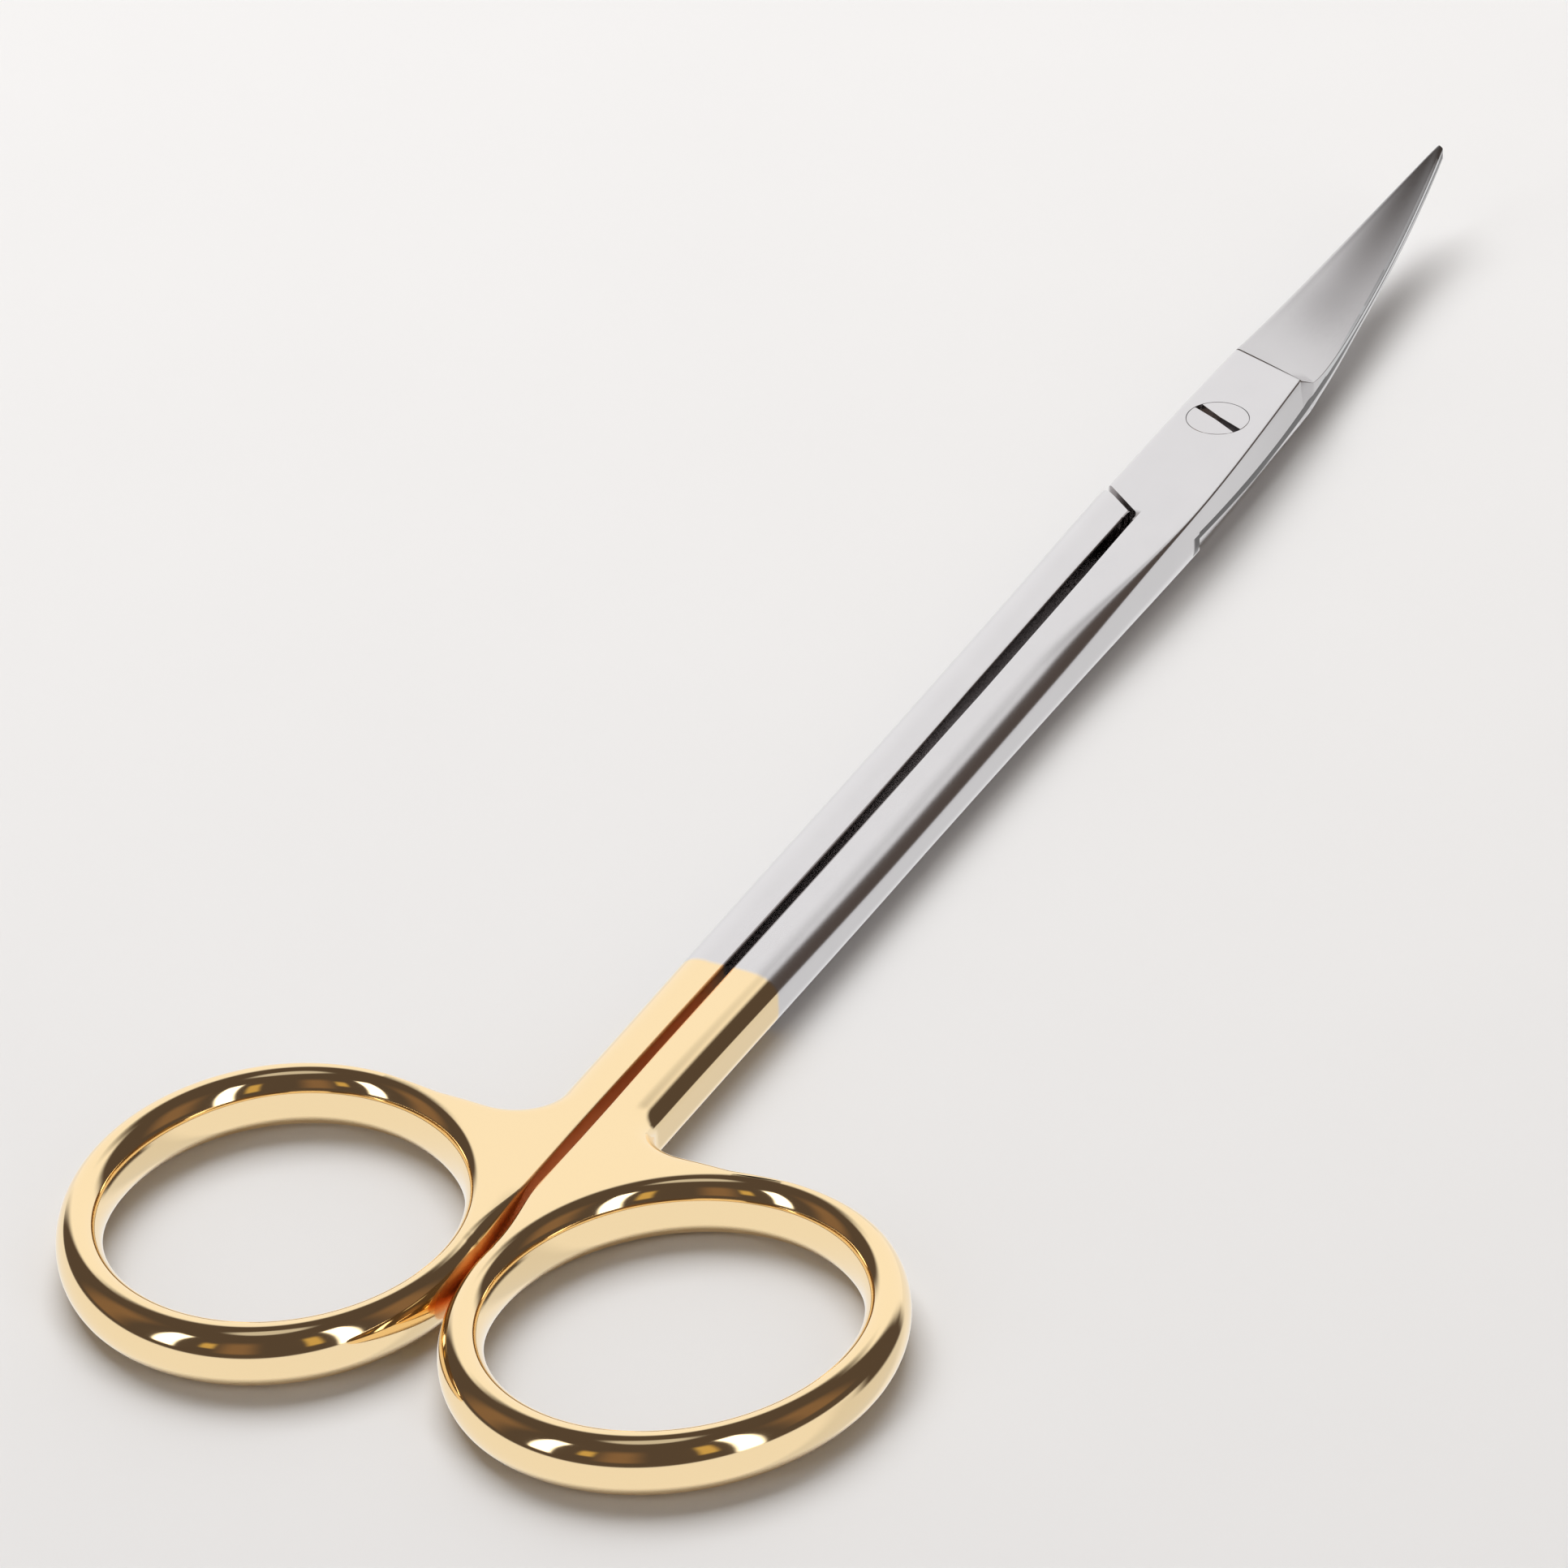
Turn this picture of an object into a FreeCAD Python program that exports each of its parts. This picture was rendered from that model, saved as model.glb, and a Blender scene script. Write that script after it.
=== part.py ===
import FreeCAD, Part
import math
import os
from FreeCAD import Vector

# Curved Kelly scissors, closed, lying on their lower side.
# The sizes are millimetres. Each half is modelled about the pivot axis, with z = 0 at the
# joint's mating plane, +Y towards the tips and +X towards the right finger ring.

# Overall and pivot
overall_length = 160.0
tip_reach = 37.9            # pivot axis to the tip
joint_half_thickness = 2.2
mating_clearance = 0.05     # between the two halves over the whole joint and blade
blade_bow_radius = 197.0    # both mating faces are spherical about the pivot axis

# Blade outline, as arcs that leave the shank parallel to the axis
cut_side_width = 3.95       # axis to the cutting side, where it is widest
cut_side_start = -11.7
back_side_width = 3.15      # axis to the back, where it is widest
back_side_start = -4.0
tip_half_width = 0.2

# Blade section
grind_start = 7.0           # where the ground face leaves the flat joint
grind_runout = 1.5
grind_fade = 2.2
land_height = 0.35          # upright land above the cutting edge
land_at_grind = 1.15
tip_back_height = 0.7
shoulder_back_round = 0.5
upper_back_round = 0.5      # the upper blade's back is nearly square
lower_back_round = 1.15     # the lower blade's back, on its bowed side, is full
tip_back_round = 0.12
edge_round = 0.06
cut_side_lean = 0.42        # how far the joint's side leans in at the top of the grind

# Hard-metal strips along the cutting edges
strip_thickness = 0.4
strip_width = 1.4
strip_tip_width = 0.22
strip_start = 9.6
strip_end_margin = 1.2

# Shoulders where the joint meets the shanks
shoulder_outer = -10.8      # at the outer side
shoulder_inner = -13.1      # at the gap between the shanks
shoulder_slot = 0.4
shoulder_corner = 0.8

# Shanks
shank_gap = 0.66
shank_start = -14.5         # the joint's sections end here
shank_flare = 19.5          # length over which the shank swells into the joint
shank_half_width = 3.6      # axis to the outer side
shank_end_half_width = 3.33
shank_thin_half = 1.85      # half thickness at its thinnest
shank_thin_share = 0.56     # how far down the shank that is
shank_outer_round = 1.2
shank_joint_round = 1.85    # the same corner at the joint, on the side that stays round
shank_inner_round = 0.15

# Finger rings
ring_half_across = 12.06    # centreline half axes
ring_half_along = 13.78
ring_lean = 9.6             # degrees, the far end leaning outwards
ring_half_height = 2.06
ring_outer_half_width = 1.38
ring_inner_half_width = 1.18
ring_far_half_width = 1.42
ring_near_half_width = 1.64
ring_gap = 0.1              # between the two closed rings
ring_sections = 16

# Web between shank and ring
web_corner_radius = 3.2
web_start_angle = 99.0      # degrees round the ring, where the web's far edge leaves it
web_start_offset = 0.85     # outside the ring's centreline, there
web_drop = 0.5              # the far edge falls by this much to the shank
web_flank_angle = 186.0     # degrees, where the web's gap side has sunk into the ring
web_gap_angle = 160.0       # degrees, level with the end of the straight gap
web_below_ring = 0.03       # the web's faces lie this far below the ring's crest
web_above_corner = 1.5      # the shank's sections end this far above the web's corner
web_arc_steps = 8

# Pivot screw
screw_head_radius = 2.15
screw_rim = 0.45
screw_cone = 0.75
screw_shaft_radius = 1.3
screw_slot_width = 0.42
screw_slot_depth = 0.6
screw_slot_angle = -27.8    # degrees
screw_running_clearance = 0.04
screw_thread_clearance = 0.02


# Derived places
half_clearance = mating_clearance / 2
half_gap = shank_gap / 2
lean = math.radians(ring_lean)
ring_reach_across = math.hypot(ring_half_across * math.cos(lean), ring_half_along * math.sin(lean))
ring_reach_along = math.hypot(ring_half_along * math.cos(lean), ring_half_across * math.sin(lean))
ring_x = ring_gap / 2 + ring_inner_half_width + ring_reach_across
ring_y = tip_reach - overall_length + ring_near_half_width + ring_reach_along
pivot_y = overall_length / 2 - tip_reach
web_half_height = ring_half_height - web_below_ring
reach = overall_length      # larger than anything that a cutting tool has to clear


def ring_point(angle, offset=0.0, height=0.0):
    """A point round the ring; offset is measured outwards, square to the centreline."""
    across = ring_half_across * math.cos(angle)
    along = ring_half_along * math.sin(angle)
    normal = Vector(across / ring_half_across ** 2, along / ring_half_along ** 2, 0)
    normal.normalize()
    flat = Vector(across, along, 0) + normal * offset
    x = flat.x * math.cos(lean) + flat.y * math.sin(lean)
    y = flat.y * math.cos(lean) - flat.x * math.sin(lean)
    return Vector(ring_x + x, ring_y + y, height)


web_start = ring_point(math.radians(web_start_angle), web_start_offset)
web_corner = Vector(shank_end_half_width, web_start.y - web_drop, 0)
shank_end = web_corner.y + web_corner_radius + web_above_corner
shank_thin_place = shank_start + (shank_end - shank_start) * shank_thin_share


def sag(run, radius):
    """How far an arc of this radius has left its tangent after this run."""
    if run <= 0:
        return 0.0
    return radius - math.sqrt(radius * radius - run * run)


def radius_through(run, drop):
    return (run * run + drop * drop) / (2 * drop)


cut_side_radius = radius_through(tip_reach - cut_side_start, cut_side_width - tip_half_width)
back_side_radius = radius_through(tip_reach - back_side_start, back_side_width - tip_half_width)


def blend(y, y0, y1, v0, v1):
    """Straight blend between two values, held outside its ends."""
    t = min(1.0, max(0.0, (y - y0) / (y1 - y0)))
    return v0 + (v1 - v0) * t


def smooth(y, y0, y1, v0, v1):
    """Blend with level ends."""
    t = min(1.0, max(0.0, (y - y0) / (y1 - y0)))
    return v0 + (v1 - v0) * t * t * (3 - 2 * t)


def cut_side(y):
    return cut_side_width - sag(y - cut_side_start, cut_side_radius)


def back_side(y):
    return back_side_width - sag(y - back_side_start, back_side_radius)


def bow(y):
    """Height of the mating face on the centre line."""
    return sag(abs(y), blade_bow_radius)


# Sections

def corner_arc(before, corner, after, radius):
    """Start, middle and end of the arc that rounds a corner between two neighbours."""
    back = (before - corner).normalize()
    on = (after - corner).normalize()
    half = back.getAngle(on) / 2
    inward = (back + on).normalize()
    run = radius / math.tan(half)
    middle = corner + inward * (radius / math.sin(half) - radius)
    return corner + back * run, middle, corner + on * run


def rounded_wire(y, corners):
    """A closed wire across the axis at y, from (x, z, corner radius)."""
    edges = []
    count = len(corners)
    points = [Vector(x, y, z) for x, z, radius in corners]
    arcs = []
    for i in range(count):
        arcs.append(corner_arc(points[i - 1], points[i], points[(i + 1) % count], corners[i][2]))
    for i in range(count):
        start, middle, end = arcs[i]
        edges.append(Part.Arc(start, middle, end).toShape())
        edges.append(Part.LineSegment(end, arcs[(i + 1) % count][0]).toShape())
    return Part.Wire(edges)


def shank_half_height(y):
    if y < shank_thin_place:
        return smooth(y, shank_end, shank_thin_place, web_half_height, shank_thin_half)
    return smooth(y, shank_thin_place, shoulder_outer, shank_thin_half, joint_half_thickness)


def shank_side(y):
    if y < shank_thin_place:
        return smooth(y, shank_end, shank_thin_place, shank_end_half_width, shank_half_width)
    return smooth(y, shank_start - shank_flare, cut_side_start, shank_half_width, cut_side_width)


def outer_round(y):
    """On the joint's own face the shank's rounded corner runs out to a plain edge."""
    return smooth(y, shank_start - shank_flare, shoulder_outer, shank_outer_round, edge_round)


def round_side(y):
    """On the other face it stays round, up to the shoulder."""
    return smooth(y, shank_start - shank_flare, shank_start, shank_outer_round, shank_joint_round)


def back_round(bend):
    return upper_back_round if bend > 0 else lower_back_round


def shank_section(y):
    height = shank_half_height(y)
    side = shank_side(y)
    return rounded_wire(y, [
        (half_gap, -height, shank_inner_round),
        (half_gap, height, shank_inner_round),
        (side, height, outer_round(y)),
        (side, -height, round_side(y)),
    ])


def joint_section(y, bend):
    height = shank_half_height(y)
    side = shank_side(y) if y < cut_side_start else cut_side(y)
    top = side - smooth(y, shank_start, grind_start, 0, cut_side_lean)
    back = smooth(y, shoulder_outer, grind_start, shoulder_back_round, back_round(bend))
    return rounded_wire(y, [
        (-back_side(y), -height, edge_round),
        (-back_side(y), height, back),
        (top, height, outer_round(y)),
        (2 * side - top, -height, round_side(y)),
    ])


def blade_section(y, bend):
    """bend is 1 where the blade bows towards its outer face, -1 where it bows away."""
    mate = bend * bow(y)
    start = grind_start + grind_runout
    back_base = joint_half_thickness - bend * bow(start)
    back = mate + blend(y, start, tip_reach, back_base, tip_back_height)
    land = land_height + (land_at_grind - land_height) * math.exp((start - y) / grind_fade)
    low = mate - joint_half_thickness / 2
    return rounded_wire(y, [
        (-back_side(y), low, edge_round),
        (-back_side(y), back, blend(y, start, tip_reach, back_round(bend), tip_back_round)),
        (cut_side(y), mate + land, edge_round),
        (cut_side(y), low, edge_round),
    ])


# Sub-shapes of one half

def shank():
    shares = (1, 0.8, shank_thin_share, 0.35, 0.21, 0.1, 0)
    places = [shank_start + (shank_end - shank_start) * share for share in shares]
    return Part.makeLoft([shank_section(y) for y in places], True, False)


def joint_block(bend):
    places = [shank_start + (grind_start - shank_start) * t for t in (0, 0.2, 0.48, 0.76, 1)]
    return Part.makeLoft([joint_section(y, bend) for y in places], True, False)


def blade(bend):
    start = grind_start + grind_runout
    runout = Part.makeLoft([joint_section(grind_start, bend), blade_section(start, bend)], True, True)
    places = [start + (tip_reach - start) * t for t in (0, 0.05, 0.12, 0.25, 0.45, 0.65, 0.85, 1)]
    body = Part.makeLoft([blade_section(y, bend) for y in places], True, False)
    return runout, body


def ring_half_width(angle):
    share = math.cos(angle) ** 2
    side = ring_outer_half_width if math.cos(angle) > 0 else ring_inner_half_width
    end = ring_far_half_width if math.sin(angle) > 0 else ring_near_half_width
    return side * share + end * (1 - share)


def ring():
    """The finger ring: elliptical sections, widest at the near end."""
    wires = []
    for i in range(ring_sections):
        angle = 2 * math.pi * i / ring_sections
        centre = ring_point(angle)
        outwards = ring_point(angle, 1.0) - centre
        top = centre + Vector(0, 0, ring_half_height)
        side = centre + outwards * ring_half_width(angle)
        wires.append(Part.Wire([Part.Ellipse(top, side, centre).toShape()]))
    wires.append(wires[0])
    tube = Part.makeLoft(wires, False, False)
    return Part.Solid(Part.Shell(tube.Faces))


def ring_centre_arc(first, last):
    angles = [math.radians(first + (last - first) * i / web_arc_steps) for i in range(web_arc_steps + 1)]
    curve = Part.BSplineCurve()
    curve.interpolate([ring_point(angle) for angle in angles])
    return curve.toShape()


def web():
    """The flat web that joins the shank to the ring, with its outer edges rounded."""
    side = shank_end_half_width
    shank_corner = Vector(side, shank_end, 0)
    gap_end = Vector(half_gap, ring_point(math.radians(web_gap_angle)).y, 0)
    start, middle, end = corner_arc(web_start, web_corner, shank_corner, web_corner_radius)
    edges = [
        Part.LineSegment(web_start, start).toShape(),
        Part.Arc(start, middle, end).toShape(),
        Part.LineSegment(end, shank_corner).toShape(),
    ]
    inside = [
        shank_corner, Vector(half_gap, shank_end, 0), gap_end,
        ring_point(math.radians(web_flank_angle)),
    ]
    for i in range(len(inside) - 1):
        edges.append(Part.LineSegment(inside[i], inside[i + 1]).toShape())
    edges.append(ring_centre_arc(web_start_angle, web_flank_angle))
    edges.append(Part.LineSegment(ring_point(math.radians(web_start_angle)), web_start).toShape())
    plate = Part.Face(Part.Wire(Part.__sortEdges__(edges))).extrude(Vector(0, 0, 2 * web_half_height))
    plate.translate(Vector(0, 0, -web_half_height))
    rounded = []
    for edge in plate.Edges:
        point = edge.valueAt((edge.FirstParameter + edge.LastParameter) / 2)
        if abs(abs(point.z) - web_half_height) > 1e-6:
            continue
        flat = Part.Vertex(point.x, point.y, 0)
        if any(flat.distToShape(outer)[0] < 1e-6 for outer in edges[:3]):
            rounded.append(edge)
    return plate.makeFillet(shank_outer_round, rounded)


# Cutting tools

def prism(points):
    """A tall prism over a plan outline."""
    outline = Part.makePolygon([Vector(x, y, -reach) for x, y in points + points[:1]])
    return Part.Face(outline).extrude(Vector(0, 0, 2 * reach))


def outer_side_of_mate(bend, depth=0.0):
    """Everything on the outer side of the mating face, at least this deep in the half."""
    inset = half_clearance + depth
    if bend > 0:
        return Part.makeSphere(blade_bow_radius - inset, Vector(0, 0, blade_bow_radius))
    ball = Part.makeSphere(blade_bow_radius + inset, Vector(0, 0, -blade_bow_radius))
    return Part.makeBox(2 * reach, 2 * reach, reach, Vector(-reach, -reach, -reach / 2)).cut(ball)


def shoulder(side, back):
    """The shoulder's line on one side of the axis, moved back from the joint."""
    width = 2 * cut_side_width
    slope = (shoulder_outer - shoulder_inner) / (back_side_width - half_gap)
    inner = (side * half_gap, shoulder_inner - back)
    outer = (side * width, shoulder_inner - back + slope * (width - half_gap))
    return inner, outer


def notch_tool():
    """The space behind the joint plate, which the other half's shank fills."""
    inner, outer = shoulder(-1, 0)
    slope = (inner[1] - outer[1]) / (inner[0] - outer[0])
    corner = (half_gap, inner[1] + slope * shank_gap)
    tool = prism([corner, outer, (-reach, outer[1]), (-reach, -reach), (half_gap, -reach)])
    upright = []
    for edge in tool.Edges:
        box = edge.BoundBox
        if box.ZLength > reach and abs(box.XMin - corner[0]) + abs(box.YMin - corner[1]) < 1e-3:
            upright.append(edge)
    return tool.makeFillet(shoulder_corner, upright)


def under_joint_tool(bend):
    """The inner half of the joint and blade, which the other half fills."""
    inner, outer = shoulder(1, shoulder_slot)
    front = prism([
        (-reach, -reach), (half_gap - shank_gap, -reach), (half_gap - shank_gap, inner[1]),
        inner, outer, (reach, outer[1]), (reach, reach), (-reach, reach),
    ])
    return front.cut(outer_side_of_mate(bend))


# Pieces

def screw_body(clearance, thread, slotted):
    """The screw, or the space that it needs in the half that turns on it."""
    top = joint_half_thickness
    head = screw_head_radius + clearance
    shaft = screw_shaft_radius + clearance
    rim_z = top - screw_rim
    cone_z = rim_z - screw_cone
    profile = [
        Vector(0, 0, top), Vector(head, 0, top), Vector(head, 0, rim_z), Vector(shaft, 0, cone_z),
        Vector(shaft, 0, half_clearance), Vector(screw_shaft_radius + thread, 0, half_clearance),
        Vector(screw_shaft_radius + thread, 0, -top), Vector(0, 0, -top), Vector(0, 0, top),
    ]
    if clearance == thread:
        profile.pop(5)
        profile.pop(4)
    body = Part.Face(Part.makePolygon(profile)).revolve(Vector(0, 0, 0), Vector(0, 0, 1), 360)
    if slotted:
        length = 4 * screw_head_radius
        slot = Part.makeBox(length, screw_slot_width, reach, Vector(-length / 2, -screw_slot_width / 2, 0))
        slot.translate(Vector(0, 0, top - screw_slot_depth))
        slot.rotate(Vector(0, 0, 0), Vector(0, 0, 1), screw_slot_angle)
        body = body.cut(slot)
    return body


def cutting_strip(solid, bend):
    """The hard-metal strip: the inner corner of the blade along its cutting edge."""
    end = tip_reach - strip_end_margin
    middle = (strip_start + end) / 2
    inner = Part.Arc(
        Vector(cut_side(strip_start) - strip_width, strip_start, -reach),
        Vector(cut_side(middle) - (strip_width + strip_tip_width) / 2, middle, -reach),
        Vector(cut_side(end) - strip_tip_width, end, -reach),
    ).toShape()
    ends = Part.makePolygon([
        Vector(cut_side(end) - strip_tip_width, end, -reach), Vector(reach, end, -reach),
        Vector(reach, strip_start, -reach), Vector(cut_side(strip_start) - strip_width, strip_start, -reach),
    ])
    plan = Part.Face(Part.Wire(Part.__sortEdges__([inner] + ends.Edges)))
    region = plan.extrude(Vector(0, 0, 2 * reach))
    layer = region.cut(outer_side_of_mate(bend, strip_thickness))
    return solid.common(layer)


def half(bend):
    """One half with its ring on the +X side, its joint plate above z = 0, and its strip."""
    runout, body = blade(bend)
    solid = joint_block(bend).fuse([shank(), runout, body])
    solid = solid.cut(notch_tool()).cut(under_joint_tool(bend))
    solid = solid.fuse([web(), ring()])
    strip = cutting_strip(solid, bend)
    return solid.cut(strip), strip


def export(name, shape):
    shape = shape.copy()
    shape.translate(Vector(0, pivot_y, joint_half_thickness))
    if len(shape.Solids) == 1:
        shape = shape.Solids[0]
    print(name, "valid", shape.isValid(), "solids", len(shape.Solids), "volume", round(shape.Volume, 2))
    shape.exportStep("parts/" + name + ".step")


def turned_over(shape):
    shape = shape.copy()
    shape.rotate(Vector(0, 0, 0), Vector(0, 1, 0), 180)
    return shape


def build():
    os.makedirs("parts", exist_ok=True)
    upper, upper_strip = half(1)
    lower, lower_strip = half(-1)
    lower = turned_over(lower)
    lower_strip = turned_over(lower_strip)
    upper = upper.cut(screw_body(screw_running_clearance, screw_running_clearance, False))
    lower = lower.cut(screw_body(screw_running_clearance, screw_thread_clearance, False))
    export("upper_half", upper)
    export("lower_half", lower)
    export("upper_cutting_strip", upper_strip)
    export("lower_cutting_strip", lower_strip)
    export("pivot_screw", screw_body(0, 0, True))


build()
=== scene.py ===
"""Curved Kelly scissors: satin steel blades and shanks, hard-metal edges, gold-plated rings.

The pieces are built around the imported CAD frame. Sizes in this file are millimetres about
the pivot axis, with z = 0 at the joint's mating face and +Y towards the tips, as in part.py.
"""

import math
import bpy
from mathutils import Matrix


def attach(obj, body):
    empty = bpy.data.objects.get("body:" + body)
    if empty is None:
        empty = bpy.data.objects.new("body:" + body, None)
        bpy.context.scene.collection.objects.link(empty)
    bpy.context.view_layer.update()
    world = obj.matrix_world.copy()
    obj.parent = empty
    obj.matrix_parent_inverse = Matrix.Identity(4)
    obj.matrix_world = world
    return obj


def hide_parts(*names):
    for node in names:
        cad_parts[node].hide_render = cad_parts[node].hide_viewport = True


bl_info = {
    "name": "Kelly Scissors",
    "version": (1, 0, 0),
    "blender": (4, 5, 0),
    "location": "3D View > Sidebar > Scissors",
    "description": "Builds curved Kelly scissors and a plain studio around their CAD frame",
    "category": "Object",
}

import bmesh
import bpy
import numpy as np
from mathutils import Matrix, Vector

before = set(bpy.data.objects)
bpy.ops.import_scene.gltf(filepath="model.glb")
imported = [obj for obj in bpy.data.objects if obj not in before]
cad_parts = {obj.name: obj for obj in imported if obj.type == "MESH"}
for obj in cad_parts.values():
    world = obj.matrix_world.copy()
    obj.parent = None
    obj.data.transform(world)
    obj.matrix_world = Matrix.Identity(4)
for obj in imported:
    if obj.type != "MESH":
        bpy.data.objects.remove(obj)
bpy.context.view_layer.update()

MM = 0.001
PIVOT = np.array([0.0, 42.1, 2.2])

# Joint, blades and shoulders
JOINT_HALF = 2.2
HALF_CLEARANCE = 0.025
BOW_RADIUS = 197.0
TIP_REACH = 37.9
TIP_HALF_WIDTH = 0.2
CUT_SIDE, CUT_SIDE_START = 3.95, -11.7
BACK_SIDE, BACK_SIDE_START = 3.15, -4.0
GRIND_START, GRIND_RUNOUT, GRIND_FADE = 7.0, 1.5, 2.2
LAND, LAND_AT_GRIND = 0.35, 1.15
TIP_BACK_HEIGHT = 0.7
SHOULDER_BACK_ROUND, TIP_BACK_ROUND, EDGE_ROUND = 0.5, 0.12, 0.06
BACK_ROUND = {1: 0.5, -1: 1.15}
CUT_SIDE_LEAN = 0.42
GRIND_SLANT, SLANT_MIDDLE, SLANT_START, SLANT_END = 0.36, 3.0, 1.5, 20.0
FACE_BULGE = 0.05
GRIND_GROOVE = ((0.03, 0.07), (0.1, 0.0))    # share of the run-out, and depth
STRIP_START, STRIP_END, STRIP_THICKNESS = 9.6, 36.7, 0.4
STRIP_WIDTH, STRIP_TIP_WIDTH = 1.4, 0.22
SHOULDER_OUTER, SHOULDER_INNER, SHOULDER_SLOT, SHOULDER_CORNER = -10.8, -13.1, 0.52, 0.8
HALF_GAP = 0.33
SHOULDER_SLOPE = (SHOULDER_OUTER - SHOULDER_INNER) / (BACK_SIDE - HALF_GAP)
SEAM_START, SEAM_END, SEAM_REACH, SEAM_DEPTH = -11.6, 11.0, 0.3, 0.09

# Shanks
SHANK_START, SHANK_FLARE = -14.5, 19.5
SHANK_SIDE, SHANK_END_SIDE = 3.6, 3.33
SHANK_THIN, SHANK_THIN_PLACE, SHANK_END = 1.85, -56.0, -88.2
SHANK_ROUND, SHANK_JOINT_ROUND, GAP_ROUND = 1.32, 1.85, 0.15
SHANK_CROWN = 1.36         # how much wider than high the shank's rounded corner is
JOINT_EDGE_ROUND = 0.18
WEB_HALF = 2.04
GAP_PLACES = (-106.1, -102, -98, -94, -90, -84, -70, -54, -50, -42, -38, -22, -18, -15.5)
GAP_HALVES = (0.06, 0.2, 0.31, 0.37, 0.37, 0.31, 0.275, 0.275, 0.3, 0.36, 0.4, 0.4, 0.36, 0.33)

# Finger rings
RING_X, RING_Y = 13.341, -106.725
RING_ACROSS, RING_ALONG, RING_LEAN = 12.06, 13.78, math.radians(9.6)
RING_OUTER, RING_INNER, RING_FAR, RING_NEAR = 1.38, 1.18, 1.42, 1.64
WEB_FROM, WEB_TO = 99, 186
WEB_EDGE_OFFSET, WEB_DROP, WEB_CORNER = 0.85, 0.5, 3.2
WEB_EDGE_SPREAD, WEB_EDGE_SQUARING = 30, 6.0
WEB_BLEND_FROM = 62         # degrees, where the ring's outside starts to narrow to the web's edge
GAP_ROUND_END, GAP_SQUARE_START = -105.8, -99
RING_TOP_FULLNESS = 0.12    # how flat the ring's top is beside the web, on the hole's side
RING_TOP_MIDDLE, RING_TOP_FULL, RING_TOP_REACH = 105, 35, 85    # degrees round the ring

# Pivot screw
HEAD_RADIUS, RIM, CONE, SHAFT_RADIUS = 2.15, 0.45, 0.75, 1.3
RUNNING_CLEARANCE, THREAD_CLEARANCE = 0.03, 0.02
HEAD_EDGE = 0.03
SLOT_WIDTH, SLOT_END_WIDTH, SLOT_DEPTH, SLOT_ANGLE = 0.44, 0.68, 1.2, math.radians(-27.8)
SLOT_BEYOND, SLOT_ABOVE = 0.5, 1

# Points round a section: per corner, on a side and on a flat
CORNER, SIDE, FLAT = 10, 3, 9
PROFILE = 2 * CORNER + SIDE

# Sections along each part, steps along and round the other forms
SHANK_ROWS, JOINT_ROWS, BLADE_ROWS = 140, 60, 90
RING_STEPS, TURNED_STEPS = 360, 96
WEB_EDGE_STEPS, WEB_CORNER_STEPS, WEB_SIDE_STEPS, GAP_EDGE_STEPS = 40, 24, 6, 60
STRIP_STEPS, SEAM_STEPS = 30, 24
MATE_COLUMNS, MATE_ROWS = 25, 75

# Bends above this angle stay sharp; closer points become one, and shorter edges go
SHARP_ANGLE = math.radians(24)
SAME_POINT, NO_LENGTH = 1e-5, 1e-6

# Cutting tools end beyond the part
BESIDE, WELL_BESIDE, BEHIND, WELL_BEHIND, AHEAD = 8.0, 8.5, -16.0, -16.5, 40.0
NOTCH_HEIGHT, WELL_HEIGHT, EDGE_HEIGHT, SCREW_HEIGHT = 5, 6, 10, 4
MATE_BESIDE, MATE_BEHIND, MATE_AHEAD, MATE_BELOW = 9, -17, 41, -12

# Painted shade and shadow by place in metres, those of the shoulders and the seam about the pivot. A pair
# says where a painted shade starts and where it is full
# Painted shade on the blades' ground faces from the grind line, darker still towards the tips
GROUND_FACE_PAINTED_SHADE, GROUND_FACE_PAINTED_SHADE_SLOPE = (0.0500, 0.0503), 0.383
TIP_PAINTED_SHADE_PLACES = (0.062, 0.079)
# Painted shade in the gap between the shanks: redder gold and darker steel stand in for the light lost
# between its walls
GAP_PAINTED_SHADE, GAP_PAINTED_SHADE_END = (0.00047, 0.00041), (0.0290, 0.0284)
SHOULDER_PAINTED_SHADE, SHOULDER_SHADE_MIDDLE, SHOULDER_SHADE_REACH = (0.0031, 0.0029), -0.0124, (0.0026, 0.0022)
SEAM_SHADOW_START, SEAM_SHADOW_SIDE, SEAM_SHADOW_TOP = (-0.0126, -0.0122), (0.0, 0.0001), (0.00004, 0.0)
SEAM_SHADOW_DEPTH, SEAM_SHADOW_TAPER, SEAM_SHADOW_LEAST = 0.0014, 0.0377, 0.0003
SEAM_SHADOW_LOW = (-1.05, -0.95)      # heights as a share of the seam's depth
UPRIGHT = (0.6, 0.4)                # the upward share of a face's normal
NEAR_REFLECTIONS = (0.0008, 0.0016)

# Finishes: how fine the brushed lines are along x, y and z, and how much the grain shows
HALF_BRUSH, PLAIN_BRUSH, BRUSH_DEPTH = (9000, 1600, 9000), (12000, 700, 12000), 0.00001
LINE_DETAIL, LINE_ROUGHNESS = 3.0, 0.6
CLOUD_SCALE, CLOUD_DETAIL, CLOUD_ROUGHNESS = 260.0, 2.0, 0.5
PLATING_EDGE, PLATING_WANDER, WANDER_SCALE = 0.00025, 0.0002, 900.0
STEEL_GRAIN, PLAIN_GRAIN, PLATED_CLOUD, PLATED_BRUSH = 0.08, 0.1, 0.02, 0.03
GAP_ROUGHNESS = 0.3
HARD_METAL_BRUSHING, SCREW_BRUSHING, SCREW_BRUSH_TURN = 0.2, 0.3, 0.6

# Studio, in metres
FLOOR_ROUGHNESS, FLOOR_SHINE, FLOOR_FIBRE, FLOOR_SHADE, FLOOR_CORNERS = 0.9, 0.1, 40.0, 0.98, 96
SOFTBOX_WIDTH, SOFTBOX_HEIGHT, SOFTBOX_PLACE = 0.9, 0.7, (-0.35, 0.35, 0.9)

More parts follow.
